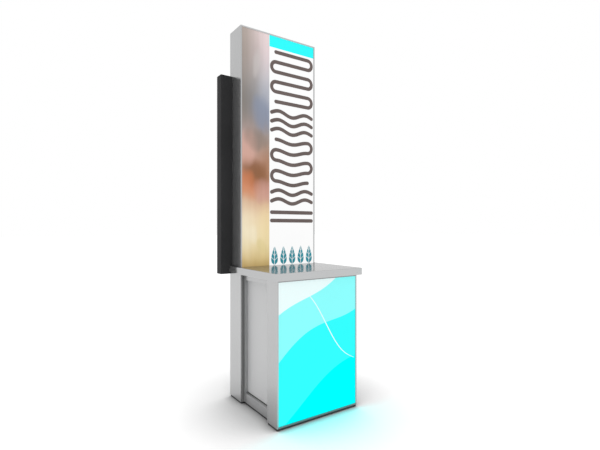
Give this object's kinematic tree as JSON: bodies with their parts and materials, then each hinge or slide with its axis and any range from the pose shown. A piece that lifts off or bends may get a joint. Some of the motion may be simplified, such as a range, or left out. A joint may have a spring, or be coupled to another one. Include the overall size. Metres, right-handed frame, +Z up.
{
  "type": "digital signage kiosk",
  "caption": "Free-standing signage kiosk: a tall backlit light box tower with a portrait display on its back and a lower lit front box under a metal counter top.",
  "frame": {"origin": "middle of the whole kiosk's footprint box, on the floor", "axes": "+Z up, the lit front faces -Y, +X to the right along the front"},
  "size_m": [0.83, 0.724, 2.684],
  "materials": {
    "frame_aluminium": "satin anodised",
    "inner_aluminium": "mill finish",
    "skin_aluminium": "satin anodised sheet",
    "counter_aluminium": "satin, softly reflecting",
    "picture_print": "backlit soft coloured print",
    "white_light_panel": "backlit opal",
    "cyan_light_panel": "backlit cyan print",
    "plinth_black": "matt black",
    "housing_black": "fine textured black",
    "screen_glass": "dark, switched off",
    "dark_film": "cut film, dark warm grey",
    "teal_film": "cut film, teal",
    "cyan_film": "cut translucent film, cyan",
    "pale_film": "cut film, pale",
    "gasket_black": "matt",
    "fastener_steel": "zinc plated",
    "plate_steel": "black powder coat"
  },
  "bodies": {
    "root": {"tower_left_profile": "frame_aluminium", "tower_right_profile": "frame_aluminium", "tower_top_profile": "frame_aluminium", "tower_bottom_profile": "frame_aluminium", "front_box_left_profile": "frame_aluminium", "front_box_right_profile": "frame_aluminium", "front_box_top_profile": "frame_aluminium", "front_box_bottom_profile": "frame_aluminium", "left_top_rail": "frame_aluminium", "left_bottom_rail": "frame_aluminium", "right_top_rail": "frame_aluminium", "right_bottom_rail": "frame_aluminium", "tower_transom": "inner_aluminium", "tower_mullion": "inner_aluminium", "rear_top_cross_rail": "inner_aluminium", "rear_bottom_cross_rail": "inner_aluminium", "left_top_spacer": "inner_aluminium", "left_bottom_spacer": "inner_aluminium", "right_top_spacer": "inner_aluminium", "right_bottom_spacer": "inner_aluminium", "tower_lower_front_panel": "skin_aluminium", "tower_back_panel": "skin_aluminium", "front_box_back_panel": "skin_aluminium", "left_side_panel": "skin_aluminium", "right_side_panel": "skin_aluminium", "cabinet_back_panel": "skin_aluminium", "cabinet_floor": "skin_aluminium", "left_joint_strip": "skin_aluminium", "right_joint_strip": "skin_aluminium", "counter_top": "counter_aluminium", "counter_underside": "counter_aluminium", "tower_picture_panel": "picture_print", "tower_sign_panel": "white_light_panel", "front_box_face_panel": "cyan_light_panel", "front_box_plinth": "plinth_black", "tower_plinth": "plinth_black", "left_rail_plinth": "plinth_black", "right_rail_plinth": "plinth_black", "display_back_cover": "housing_black", "display_bezel": "housing_black", "display_glass": "screen_glass", "display_mount_plate": "plate_steel"}
  },
  "joints": []
}
